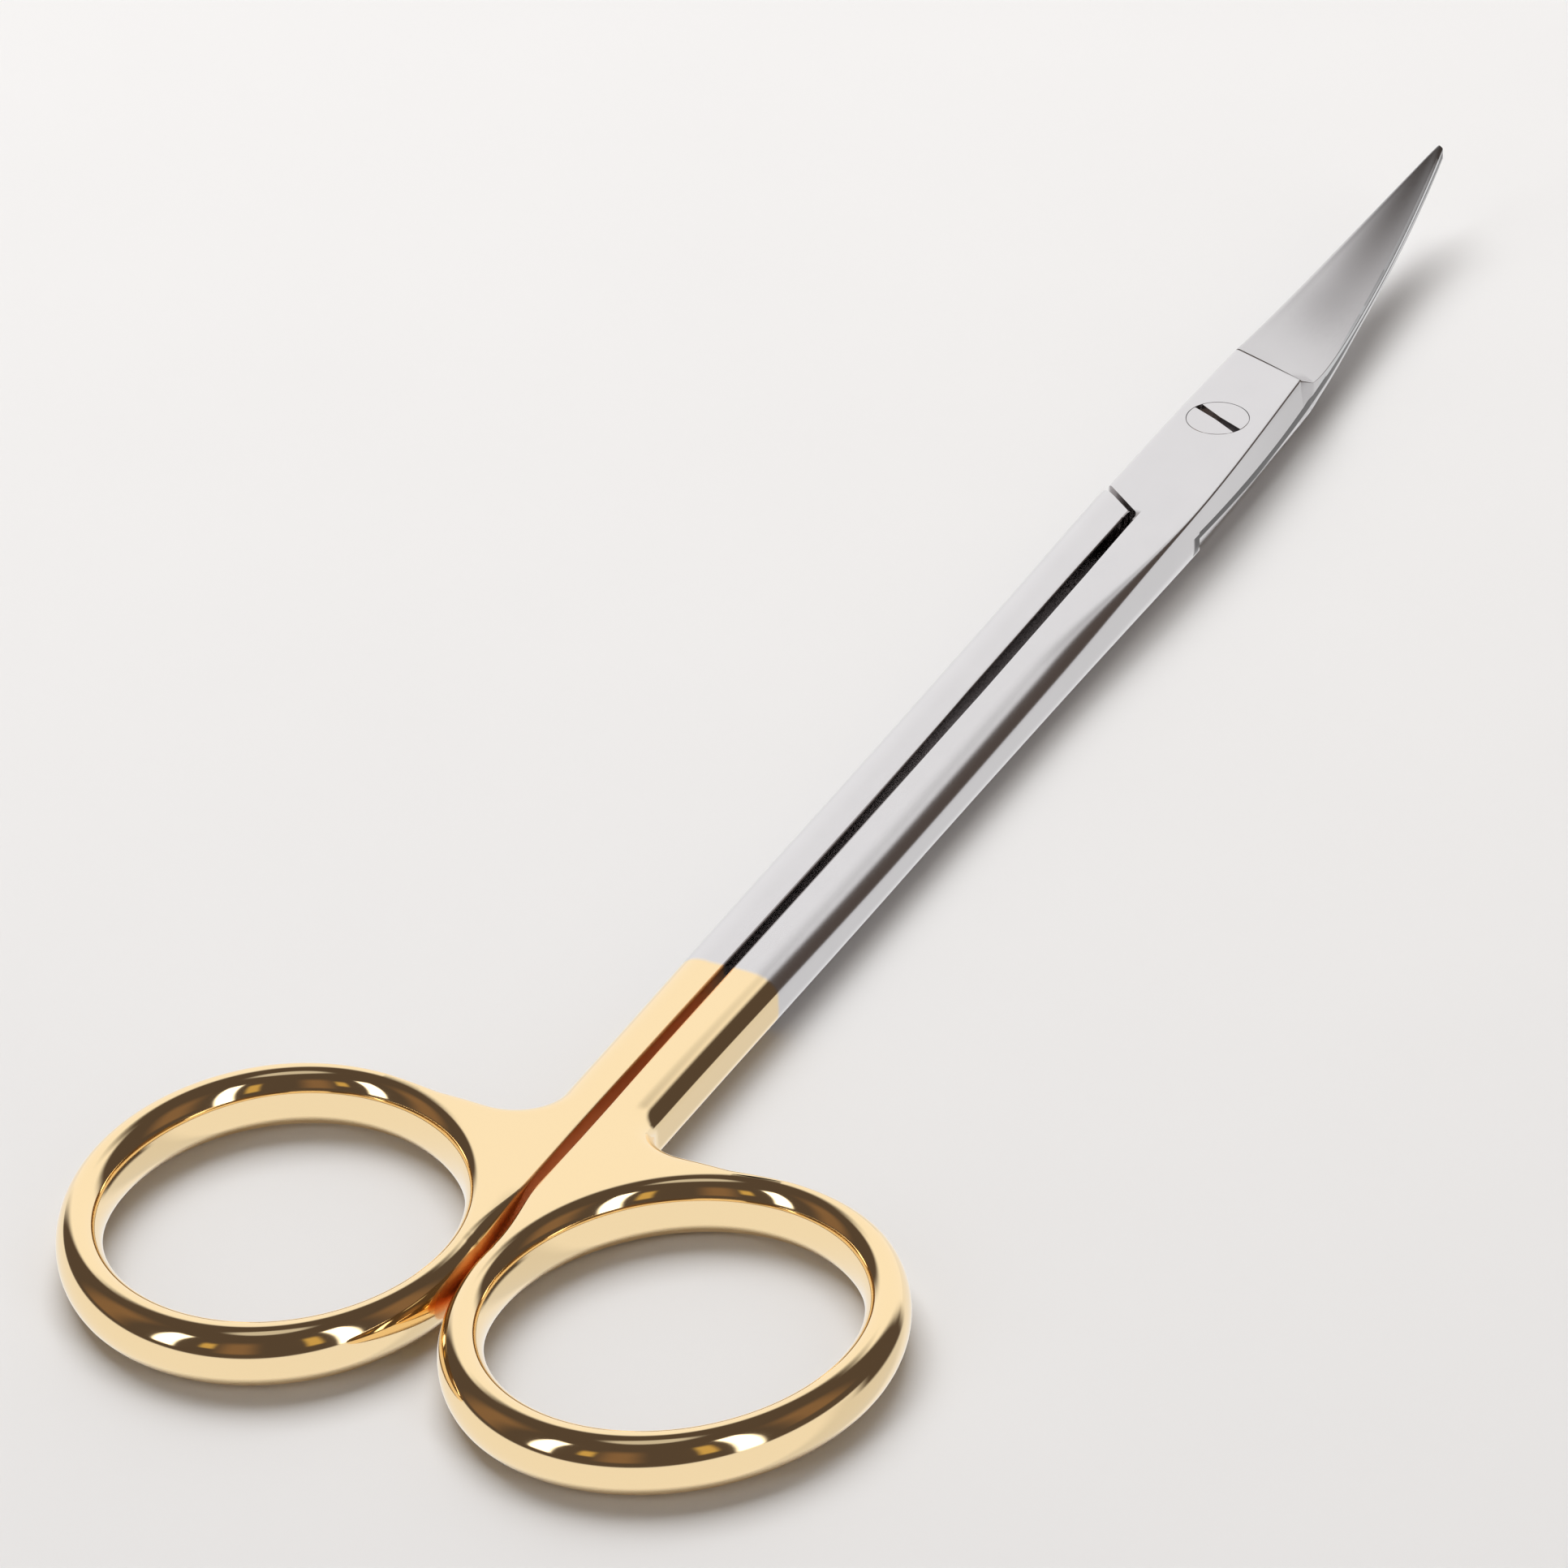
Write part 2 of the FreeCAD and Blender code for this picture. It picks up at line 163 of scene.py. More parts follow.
# The photograph's view: the camera's right, up and back axes and its eye in metres, lens in mm
CAMERA_RIGHT = (0.89323961, 0.44898585, -0.02312351)
CAMERA_UP = (-0.2249433, 0.49086454, 0.84169621)
CAMERA_BACK = (0.3892602, -0.74663492, 0.53945601)
CAMERA_EYE = (0.23624619, -0.47626344, 0.34029257)
CAMERA_SENSOR, CAMERA_LENS = 36.0, 222.991
CAMERA_NEAR, CAMERA_FAR = 0.01, 20.0

# Patches of the surroundings: azimuth, half width, soft side, foot, head and soft head in degrees
PATCHES = (
    (-20, 40, 7, -30, 47.5, 4, "grey"),
    (-20, 40, 7, -30, 43, 4, "white"),
    (0, 200, 5, -120, -3, 2, "table"),
    (44, 26, 8, -120, -6, 5, "shade"),
    (38, 18, 6, -16, 5, 5, "room"),
    (0, 200, 5, 80, 120, 3, "overhead"),
    (-112, 12, 9, 5, 50, 12, "brown"),
    (166, 9, 7, 10, 44, 8, "brown"),
    (74, 12, 9, 12, 46, 10, "brown"),
    (-176, 4, 2, 22, 38, 5, "glint"),
    (124, 4, 2, 15, 42, 5, "glint"),
    (-152, 6, 2, 8, 50, 4, "lamp"),
    (107, 5.5, 2, -2, 52, 4, "lamp"),
)
PATCH_FOOT_EDGE = 3.0
# How bright these tones are as a share of the backdrop
BACKDROP_SHARES = {"white": 1.0, "grey": 0.55, "table": 0.9, "shade": 0.75, "overhead": 0.6}


# Curves of the outline

def sag(run, radius):
    run = max(run, 0.0)
    return radius - math.sqrt(radius * radius - run * run)


def radius_through(run, drop):
    return (run * run + drop * drop) / (2 * drop)


CUT_SIDE_RADIUS = radius_through(TIP_REACH - CUT_SIDE_START, CUT_SIDE - TIP_HALF_WIDTH)
BACK_SIDE_RADIUS = radius_through(TIP_REACH - BACK_SIDE_START, BACK_SIDE - TIP_HALF_WIDTH)


def share(y, y0, y1):
    return min(1.0, max(0.0, (y - y0) / (y1 - y0)))


def smooth(y, y0, y1, v0, v1):
    t = share(y, y0, y1)
    return v0 + (v1 - v0) * t * t * (3 - 2 * t)


def cut_side(y):
    return CUT_SIDE - sag(y - CUT_SIDE_START, CUT_SIDE_RADIUS)


def back_side(y):
    return BACK_SIDE - sag(y - BACK_SIDE_START, BACK_SIDE_RADIUS)


def bow(y):
    return sag(abs(y), BOW_RADIUS)


def gap_half(y):
    return float(np.interp(y, GAP_PLACES, GAP_HALVES))


def shank_half(y):
    if y < SHANK_THIN_PLACE:
        return smooth(y, SHANK_END, SHANK_THIN_PLACE, WEB_HALF, SHANK_THIN)
    return smooth(y, SHANK_THIN_PLACE, SHOULDER_OUTER, SHANK_THIN, JOINT_HALF)


def shank_side(y):
    if y < SHANK_THIN_PLACE:
        return smooth(y, SHANK_END, SHANK_THIN_PLACE, SHANK_END_SIDE, SHANK_SIDE)
    return smooth(y, SHANK_START - SHANK_FLARE, CUT_SIDE_START, SHANK_SIDE, CUT_SIDE)


def outer_round(y):
    return smooth(y, SHANK_START - SHANK_FLARE, SHOULDER_OUTER, SHANK_ROUND, JOINT_EDGE_ROUND)


def crown(y):
    return smooth(y, SHANK_START - SHANK_FLARE, SHANK_START, SHANK_CROWN, 1)


def round_side(y):
    return smooth(y, SHANK_START - SHANK_FLARE, SHANK_START, SHANK_ROUND, SHANK_JOINT_ROUND)


# Sections across the axis: inner bottom, inner top, outer top and outer bottom corners

def corner_arc(before, corner, after, radius):
    """Points round a corner of a section."""
    back = (before - corner) / np.linalg.norm(before - corner)
    on = (after - corner) / np.linalg.norm(after - corner)
    half = math.acos(np.clip(back @ on, -1, 1)) / 2
    inward = (back + on) / np.linalg.norm(back + on)
    centre = corner + inward * radius / math.sin(half)
    start = corner + back * radius / math.tan(half) - centre
    end = corner + on * radius / math.tan(half) - centre
    turn = math.pi - 2 * half
    steps = np.linspace(0, 1, CORNER)[:, None]
    return centre + (np.sin((1 - steps) * turn) * start + np.sin(steps * turn) * end) / math.sin(turn)


def section(y, corners, stretch=1.0, bulge=0.0):
    """A closed outline of fixed point count from four (x, z, radius) corners.

    The outer corners are stretched sideways, and the top face bulges by a share of its width.
    """
    points = [np.array(c[:2], float) for c in corners]
    arcs = [corner_arc(points[i - 1], points[i], points[(i + 1) % 4], corners[i][2]) for i in range(4)]
    for arc in arcs[2:]:
        side = arc[:, 0].max()
        arc[:, 0] = side + (arc[:, 0] - side) * stretch
    outline = []
    for i, arc in enumerate(arcs):
        outline.extend(arc)
        count = SIDE if i % 2 == 0 else FLAT
        following = arcs[(i + 1) % 4][0]
        for step in range(1, count + 1):
            t = step / (count + 1)
            lift = 4 * t * (1 - t) * bulge * (following[0] - arc[-1][0]) if i == 1 else 0
            outline.append(arc[-1] + (following - arc[-1]) * t + np.array([0, lift]))
    return [(x, y + grind_slant(x, y), z) for x, z in outline]


def grind_slant(x, y):
    """The grind line runs askew: its inner end lies further towards the tips."""
    rising = smooth(y, SLANT_START, GRIND_START, 0, 1)
    falling = smooth(y, GRIND_START + GRIND_RUNOUT, SLANT_END, 1, 0)
    return GRIND_SLANT * (SLANT_MIDDLE - x) * (rising * falling)


def shank_section(y):
    height, side, gap = shank_half(y), shank_side(y), gap_half(y)
    return section(y, [
        (gap, -height, GAP_ROUND), (gap, height, GAP_ROUND),
        (side, height, outer_round(y)), (side, -height, round_side(y)),
    ], crown(y))


def joint_section(y, bend):
    height = shank_half(y)
    side = shank_side(y) if y < CUT_SIDE_START else cut_side(y)
    top = side - smooth(y, SHANK_START, GRIND_START, 0, CUT_SIDE_LEAN)
    back = smooth(y, SHOULDER_OUTER, GRIND_START, SHOULDER_BACK_ROUND, BACK_ROUND[bend])
    return section(y, [
        (-back_side(y), -height, EDGE_ROUND), (-back_side(y), height, back),
        (top, height, outer_round(y)), (2 * side - top, -height, round_side(y)),
    ])


def blade_section(y, bend):
    mate = bend * bow(y)
    start = GRIND_START + GRIND_RUNOUT
    along = share(y, start, TIP_REACH)
    back_base = JOINT_HALF - bend * bow(start)
    back = mate + back_base + (TIP_BACK_HEIGHT - back_base) * along
    back_round = BACK_ROUND[bend] + (TIP_BACK_ROUND - BACK_ROUND[bend]) * along
    land = LAND + (LAND_AT_GRIND - LAND) * math.exp((start - y) / GRIND_FADE)
    low = mate - JOINT_HALF / 2
    return section(y, [
        (-back_side(y), low, EDGE_ROUND), (-back_side(y), back, back_round),
        (cut_side(y), mate + land, EDGE_ROUND), (cut_side(y), low, EDGE_ROUND),
    ], bulge=FACE_BULGE)


# Finger ring and web

def ring_point(angle, offset=0.0):
    across, along = RING_ACROSS * math.cos(angle), RING_ALONG * math.sin(angle)
    normal = np.array([across / RING_ACROSS ** 2, along / RING_ALONG ** 2])
    flat = np.array([across, along]) + normal / np.linalg.norm(normal) * offset
    x = flat[0] * math.cos(RING_LEAN) + flat[1] * math.sin(RING_LEAN)
    y = flat[1] * math.cos(RING_LEAN) - flat[0] * math.sin(RING_LEAN)
    return np.array([RING_X + x, RING_Y + y])


def ring_half_width(angle):
    part = math.cos(angle) ** 2
    side = RING_OUTER if math.cos(angle) > 0 else RING_INNER
    end = RING_FAR if math.sin(angle) > 0 else RING_NEAR
    return side * part + end * (1 - part)


def edge_profile(reach, radius, height, squareness, fullness=1.0):
    """(outward, z) from the crest round to the underside: an ellipse, or a rounded box."""
    turn = np.linspace(0, math.pi, PROFILE)
    across, up = np.sin(turn), np.cos(turn)
    across, up = np.abs(across) ** fullness, np.sign(up) * np.abs(up) ** fullness
    round_points = np.stack([reach * across, height * up], axis=1)
    quarter = np.linspace(0, math.pi / 2, CORNER)
    top = np.stack([reach * np.sin(quarter), height - radius + radius * np.cos(quarter)], axis=1)
    wall = np.linspace(height - radius, radius - height, SIDE + 2)[1:-1]
    middle = np.stack([np.full(SIDE, reach), wall], axis=1)
    box = np.concatenate([top, middle, (top * (1, -1))[::-1]])
    return round_points * (1 - squareness) + box * squareness


def edge_points(crest, boundary, radius, squareness, fullness=1.0):
    """The profile set up between a crest point and a boundary point of the plan."""
    out = boundary - crest
    reach = np.linalg.norm(out)
    profile = edge_profile(reach, radius, WEB_HALF, squareness, fullness)
    return [(*(crest + out * u / reach), z) for u, z in profile]


def far_edge():
    """Crest and boundary points from the ring along the web's far edge and up the shank."""
    start = ring_point(math.radians(WEB_FROM), WEB_EDGE_OFFSET)
    corner = np.array([SHANK_END_SIDE, start[1] - WEB_DROP])
    back = (start - corner) / np.linalg.norm(start - corner)
    up = np.array([0.0, 1.0])
    half = math.acos(back @ up) / 2
    bisector = (back + up) / np.linalg.norm(back + up)
    centre = corner + bisector * WEB_CORNER / math.sin(half)
    touch = corner + back * WEB_CORNER / math.tan(half)
    inward = (touch - centre) / WEB_CORNER
    length = np.linalg.norm(touch - start)
    rows = []
    for step in range(1, WEB_EDGE_STEPS):
        run = length * step / WEB_EDGE_STEPS
        depth = min(SHANK_ROUND, WEB_EDGE_OFFSET + run * run / WEB_EDGE_SPREAD)
        boundary = start - back * run
        rows.append((boundary + inward * depth, boundary, smooth(run, 0, WEB_EDGE_SQUARING, 0, 1)))
    reach = SHANK_ROUND * SHANK_CROWN
    first = math.atan2(inward[1], inward[0])
    for step in range(WEB_CORNER_STEPS + 1):
        t = step / WEB_CORNER_STEPS
        angle = first + (-math.pi - first) * t if first < 0 else first + (math.pi - first) * t
        out = np.array([math.cos(angle), math.sin(angle)])
        depth = smooth(t, 0, 1, SHANK_ROUND, reach)
        rows.append((centre + (WEB_CORNER + depth) * out, centre + WEB_CORNER * out, 1))
    for y in np.linspace(centre[1], SHANK_END, WEB_SIDE_STEPS)[1:]:
        side = shank_side(y)
        rows.append((np.array([side - reach, y]), np.array([side, y]), 1))
    return rows


def radius_of(crest, boundary):
    return min(SHANK_ROUND, np.linalg.norm(boundary - crest))


def gap_edge():
    """Crest and boundary points from the ring up the gap side to the shank."""
    low = ring_point(math.radians(WEB_TO), RING_INNER)[1]
    rows = []
    for y in np.linspace(low, SHANK_END, GAP_EDGE_STEPS)[1:]:
        square = smooth(y, GAP_ROUND_END, GAP_SQUARE_START, 0, 1)
        reach = RING_INNER + (GAP_ROUND - RING_INNER) * square
        rows.append((np.array([gap_half(y) + reach, y]), np.array([gap_half(y), y]), square))
    return rows


class Shell:
    """Vertices and faces of one closed mesh."""

    def __init__(self):
        self.points = []
        self.faces = []

    def row(self, points):
        first = len(self.points)
        self.points.extend(tuple(float(v) for v in p) for p in points)
        return list(range(first, len(self.points)))

    def bridge(self, one, two, closed=False):
        count = len(one)
        for i in range(count if closed else count - 1):
            j = (i + 1) % count
            self.faces.append((one[i], one[j], two[j], two[i]))

    def mesh(self, name):
        mesh = bpy.data.meshes.new(name)
        mesh.from_pydata(self.points, [], self.faces)
        shell = bmesh.new()
        shell.from_mesh(mesh)
        bmesh.ops.remove_doubles(shell, verts=shell.verts, dist=SAME_POINT)
        bmesh.ops.dissolve_degenerate(shell, edges=shell.edges, dist=NO_LENGTH)
        bmesh.ops.recalc_face_normals(shell, faces=shell.faces)
        bmesh.ops.triangulate(shell, faces=[f for f in shell.faces if len(f.verts) > 4])
        shell.to_mesh(mesh)
        shell.free()
        return mesh


def add_handle(shell, end_section):
    """The ring and web, joined to the shank's last section."""
    steps = RING_STEPS
    angles = [math.radians(i * 360 / steps) for i in range(steps)]
    crests = [ring_point(a) for a in angles]
    tops = shell.row([(*c, WEB_HALF) for c in crests])
    lows = shell.row([(*c, -WEB_HALF) for c in crests])
    inner, outer = [], {}
    for i, angle in enumerate(angles):
        away = abs(i * 360 / steps - RING_TOP_MIDDLE)
        full = 1 - RING_TOP_FULLNESS * smooth(away, RING_TOP_FULL, RING_TOP_REACH, 1, 0)
        hole = ring_point(angle, -ring_half_width(angle))
        profile = edge_points(crests[i], hole, WEB_HALF, 0, full)
        inner.append([tops[i]] + shell.row(profile[1:-1]) + [lows[i]])
        degrees = i * 360 // steps
        if degrees <= WEB_FROM or degrees >= WEB_TO:
            width = ring_half_width(angle)
            if degrees <= WEB_FROM:
                width += smooth(degrees, WEB_BLEND_FROM, WEB_FROM, 0, WEB_EDGE_OFFSET - width)
            profile = edge_points(crests[i], ring_point(angle, width), WEB_HALF, 0)
            outer[i] = [tops[i]] + shell.row(profile[1:-1]) + [lows[i]]
    for i in range(steps):
        following = (i + 1) % steps
        shell.bridge(inner[i], inner[following])
        if i in outer and following in outer:
            shell.bridge(outer[i], outer[following])
    inner_end = end_section[:PROFILE][::-1]
    outer_end = end_section[PROFILE + FLAT:2 * PROFILE + FLAT]
    chains = []
    for rows, first, last in ((far_edge(), WEB_FROM, outer_end), (gap_edge(), WEB_TO, inner_end)):
        chain = [outer[first * steps // 360]]
        for crest, boundary, square in rows[:-1]:
            radius = WEB_HALF + (radius_of(crest, boundary) - WEB_HALF) * square
            chain.append(shell.row(edge_points(crest, boundary, radius, square)))
        chain.append(last)
        for one, two in zip(chain, chain[1:]):
            shell.bridge(one, two)
        chains.append(chain)
    far, gap = chains
    web = range(WEB_TO * steps // 360 - 1, WEB_FROM * steps // 360, -1)
    flat_top = end_section[PROFILE:PROFILE + FLAT][::-1]
    flat_low = end_section[2 * PROFILE + FLAT:]
    for place, crest, flat in ((0, tops, flat_top), (-1, lows, flat_low)):
        border = [row[place] for row in far] + list(flat) + [row[place] for row in gap[::-1]]
        shell.faces.append(tuple(border + [crest[i] for i in web]))


def between(one, two, t, drop):
    """A section part of the way between two others, its top lowered."""
    points = np.array(one) * (1 - t) + np.array(two) * t
    points[CORNER + SIDE:PROFILE + FLAT + CORNER, 2] -= drop
    return points


def half_mesh(bend):
    """One whole half before its cuts, its ring on the +X side."""
    shell = Shell()
    stations = list(np.linspace(SHANK_END, SHANK_START, SHANK_ROWS))
    sections = [shank_section(y) for y in stations]
    sections += [joint_section(y, bend) for y in np.linspace(SHANK_START, GRIND_START, JOINT_ROWS)]
    start = GRIND_START + GRIND_RUNOUT
    blade = [blade_section(y, bend) for y in np.linspace(start, TIP_REACH, BLADE_ROWS)]
    sections += [between(sections[-1], blade[0], t, drop) for t, drop in GRIND_GROOVE]
    sections += blade
    rows = [shell.row(s) for s in sections]
    for one, two in zip(rows, rows[1:]):
        shell.bridge(one, two, closed=True)
    shell.faces.append(tuple(rows[-1]))
    add_handle(shell, rows[0])
    return shell.mesh("half")


# Cutting tools

def prism(plan, low, high):
    """An upright prism; low and high are heights."""
    shell = Shell()
    floor = shell.row([(x, y, low) for x, y in plan])
    roof = shell.row([(x, y, high) for x, y in plan])
    shell.bridge(floor, roof, closed=True)
    shell.faces += [tuple(floor), tuple(roof)]
    return shell.mesh("prism")


def below_mate(bend, depth=0.0):
    """The space under the spherical mating face, this deep in the half."""
    shell = Shell()
    across = np.linspace(-MATE_BESIDE, MATE_BESIDE, MATE_COLUMNS)
    along = np.linspace(MATE_BEHIND, MATE_AHEAD, MATE_ROWS)
    inset = HALF_CLEARANCE + depth
    roof = []
    for y in along:
        spot = [(x, y, bend * sag(math.hypot(x, y), BOW_RADIUS - bend * inset) + inset) for x in across]
        roof.append(shell.row(spot))
    floor = [shell.row([(x, y, MATE_BELOW) for x in across]) for y in along]
    for rows in (roof, floor):
        for one, two in zip(rows, rows[1:]):
            shell.bridge(one, two)
    shell.bridge(roof[0], floor[0])
    shell.bridge(roof[-1], floor[-1])
    shell.bridge([r[0] for r in roof], [r[0] for r in floor])
    shell.bridge([r[-1] for r in roof], [r[-1] for r in floor])
    return shell.mesh("below_mate")


def shoulder(side, back):
    """The slanting line of a shoulder in plan, from the gap to beyond the part's side."""
    inner = (side * HALF_GAP, SHOULDER_INNER - back)
    outer = (side * BESIDE, SHOULDER_INNER - back + SHOULDER_SLOPE * (BESIDE - HALF_GAP))
    return inner, outer


def notch():
    """The space behind the joint plate, for the other half's shank."""
    inner, outer = shoulder(-1, 0)
    corner = np.array([HALF_GAP, inner[1] - SHOULDER_SLOPE * 2 * HALF_GAP])
    round_corner = corner_arc(np.array([HALF_GAP, BEHIND]), corner, np.array(outer), SHOULDER_CORNER)
    plan = [tuple(p) for p in round_corner] + [outer, (-BESIDE, BEHIND), (HALF_GAP, BEHIND)]
    return prism(plan, -NOTCH_HEIGHT, NOTCH_HEIGHT)


def under_joint(bend):
    """The inner half of the joint and blade, which the other half fills."""
    inner, outer = shoulder(1, SHOULDER_SLOT)
    front = prism([
        (-WELL_BESIDE, WELL_BEHIND), (-HALF_GAP, WELL_BEHIND), (-HALF_GAP, inner[1]), inner, outer,
        (WELL_BESIDE, outer[1]), (WELL_BESIDE, AHEAD), (-WELL_BESIDE, AHEAD),
    ], -WELL_HEIGHT, WELL_HEIGHT)
    return combine(front, below_mate(bend), "INTERSECT")


def strip_space(bend):
    """The inner corner along the cutting edge that the hard-metal strip fills."""
    plan = []
    for y in np.linspace(STRIP_START, STRIP_END, STRIP_STEPS):
        along = share(y, STRIP_START, STRIP_END)
        plan.append((cut_side(y) - STRIP_WIDTH - (STRIP_TIP_WIDTH - STRIP_WIDTH) * along, y))
    plan += [(BESIDE, STRIP_END), (BESIDE, STRIP_START)]
    strip = prism(plan, -EDGE_HEIGHT, EDGE_HEIGHT)
    return combine(strip, below_mate(bend, STRIP_THICKNESS), "INTERSECT")


def seam_space(bend):
    """The fine rebate along the outer edge of the joint's mating faces."""
    plan = [(cut_side(y) - SEAM_REACH, y) for y in np.linspace(SEAM_START, SEAM_END, SEAM_STEPS)]
    plan += [(BESIDE, SEAM_END), (BESIDE, SEAM_START)]
    edge = prism(plan, -EDGE_HEIGHT, EDGE_HEIGHT)
    return combine(edge, below_mate(bend, SEAM_DEPTH), "INTERSECT")


def turned(profile):
    """A closed solid turned about the pivot axis from (radius, z) points that start and end on it."""
    shell = Shell()
    steps = TURNED_STEPS
    rings = []
    for radius, z in profile:
        if radius == 0:
            rings.append(shell.row([(0, 0, z)]) * steps)
            continue
        angles = np.linspace(0, 2 * math.pi, steps, endpoint=False)
        rings.append(shell.row([(radius * math.cos(a), radius * math.sin(a), z) for a in angles]))
    for one, two in zip(rings, rings[1:]):
        for i in range(steps):
            j = (i + 1) % steps
            face = [one[i], one[j], two[j], two[i]]
            shell.faces.append(tuple(dict.fromkeys(face)))
    return shell.mesh("turned")


def screw_space():
    head, shaft = HEAD_RADIUS + RUNNING_CLEARANCE, SHAFT_RADIUS + RUNNING_CLEARANCE
    thread = SHAFT_RADIUS + THREAD_CLEARANCE
    rim = JOINT_HALF - RIM
    return turned([
        (0, SCREW_HEIGHT), (head, SCREW_HEIGHT), (head, rim), (shaft, rim - CONE),
        (shaft, HALF_CLEARANCE), (thread, HALF_CLEARANCE), (thread, -SCREW_HEIGHT), (0, -SCREW_HEIGHT),
    ])


def combine(base, tool, operation):
    """A Boolean of two meshes; both are used up."""
    pair = [bpy.data.objects.new(mesh.name, mesh) for mesh in (base, tool)]
    for obj in pair:
        bpy.context.scene.collection.objects.link(obj)
    boolean = pair[0].modifiers.new("cut", "BOOLEAN")
    boolean.object, boolean.operation, boolean.solver = pair[1], operation, "MANIFOLD"
    evaluated = pair[0].evaluated_get(bpy.context.evaluated_depsgraph_get())
    result = bpy.data.meshes.new_from_object(evaluated)
    for obj in pair:
        mesh = obj.data
        bpy.data.objects.remove(obj)
        bpy.data.meshes.remove(mesh)
    return result


def turn_over(mesh):
    mesh.transform(Matrix.Rotation(math.pi, 4, "Y"))
    return mesh


def piece(name, mesh, material, node, body):
    mesh.transform(Matrix.Translation(Vector(PIVOT)))
    mesh.transform(Matrix.Scale(MM, 4))
    mesh.name = name
    mesh.materials.clear()
    mesh.materials.append(material)
    mesh.polygons.foreach_set("use_smooth", [True] * len(mesh.polygons))
    mesh.set_sharp_from_angle(angle=SHARP_ANGLE)
    obj = bpy.data.objects.new(name, mesh)
    bpy.context.scene.collection.objects.link(obj)
    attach(obj, body)
    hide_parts(node)


# Shader building

class Nodes:
    """Short calls for one node tree."""

    def __init__(self, tree):
        self.tree = tree

    def add(self, kind, settings=None, **inputs):
        node = self.tree.nodes.new("ShaderNode" + kind)
        for key, value in (settings or {}).items():
            setattr(node, key, value)
        for key, value in inputs.items():
            self.feed(node, key.replace("_", " "), value)
        return node

    def feed(self, node, key, value):
        socket = node.inputs[int(key[1:])] if key[0] == "i" and key[1:].isdigit() else node.inputs[key]
        if isinstance(value, bpy.types.NodeSocket):
            self.tree.links.new(value, socket)
        else:
            socket.default_value = value

    def math(self, operation, one, two=0.0, three=0.0):
        node = self.add("Math", {"operation": operation}, i0=one, i1=two, i2=three)
        return node.outputs[0]

    def ramp(self, value, low, high, to_low=0.0, to_high=1.0):
        node = self.add("MapRange", {"interpolation_type": "SMOOTHSTEP"}, Value=value)
        for key, number in (("From Min", low), ("From Max", high), ("To Min", to_low), ("To Max", to_high)):
            self.feed(node, key, number)
        return node.outputs[0]

    def mix(self, factor, one, two):
        node = self.add("Mix", {"data_type": "RGBA"}, i0=factor, i6=one, i7=two)
        return node.outputs[2]


def sky_patch_group():
    """A soft-edged patch of the studio's surroundings, by azimuth and elevation in degrees."""
    tree = bpy.data.node_groups.new("studio_patch", "ShaderNodeTree")
    for name in ("Azimuth", "Half Width", "Side Edge", "Low", "High", "Head Edge"):
        tree.interface.new_socket(name, in_out="INPUT", socket_type="NodeSocketFloat")
    tree.interface.new_socket("Mask", in_out="OUTPUT", socket_type="NodeSocketFloat")
    n = Nodes(tree)
    given = tree.nodes.new("NodeGroupInput").outputs
    result = tree.nodes.new("NodeGroupOutput")
    toward = n.add("SeparateXYZ", i0=n.add("TexCoord").outputs["Generated"]).outputs
    azimuth = n.math("MULTIPLY", n.math("ARCTAN2", toward[0], toward[1]), math.degrees(1))
    away = n.math("ABSOLUTE", n.math("WRAP", n.math("SUBTRACT", azimuth, given["Azimuth"]), 180, -180))
    height = n.math("MULTIPLY", n.math("ARCSINE", toward[2]), math.degrees(1))
    side, top = given["Side Edge"], given["Head Edge"]
    sides = n.ramp(away, n.math("ADD", given["Half Width"], side),
                   n.math("SUBTRACT", given["Half Width"], side))
    foot = n.ramp(height, n.math("SUBTRACT", given["Low"], PATCH_FOOT_EDGE),
                  n.math("ADD", given["Low"], PATCH_FOOT_EDGE))
    head = n.ramp(height, n.math("ADD", given["High"], top), n.math("SUBTRACT", given["High"], top))
    mask = n.math("MULTIPLY", n.math("MULTIPLY", sides, foot), head)
    tree.links.new(mask, result.inputs["Mask"])
    return tree


def grain_group():
    """Satin brushing: fine lines along an axis, as a height and a mask of lighter and darker."""
    tree = bpy.data.node_groups.new("satin_grain", "ShaderNodeTree")
    tree.interface.new_socket("Stretch", in_out="INPUT", socket_type="NodeSocketVector")
    tree.interface.new_socket("Turn", in_out="INPUT", socket_type="NodeSocketFloat")
    for name in ("Height", "Cloud"):
        tree.interface.new_socket(name, in_out="OUTPUT", socket_type="NodeSocketFloat")
    n = Nodes(tree)
    given = tree.nodes.new("NodeGroupInput").outputs
    result = tree.nodes.new("NodeGroupOutput")
    place = n.add("TexCoord").outputs["Object"]
    turned_place = n.add("VectorRotate", {"rotation_type": "Z_AXIS"}, Vector=place, Angle=given["Turn"])
    stretched = n.add("VectorMath", {"operation": "MULTIPLY"}, i0=turned_place.outputs[0],
                      i1=given["Stretch"])
    lines = n.add("TexNoise", Vector=stretched.outputs[0], Scale=1.0, Detail=LINE_DETAIL,
                  Roughness=LINE_ROUGHNESS)
    cloud = n.add("TexNoise", Vector=place, Scale=CLOUD_SCALE, Detail=CLOUD_DETAIL,
                  Roughness=CLOUD_ROUGHNESS)
    tree.links.new(lines.outputs[0], result.inputs["Height"])
    tree.links.new(cloud.outputs[0], result.inputs["Cloud"])
    return tree


def new_material(name):
    material = bpy.data.materials.new(name)
    material.use_nodes = True
    n = Nodes(material.node_tree)
    return material, n, material.node_tree.nodes["Principled BSDF"]


def place_group(n, tree, **inputs):
    node = n.tree.nodes.new("ShaderNodeGroup")
    node.node_tree = tree
    for key, value in inputs.items():
        n.feed(node, key.replace("_", " "), value)
    return node.outputs


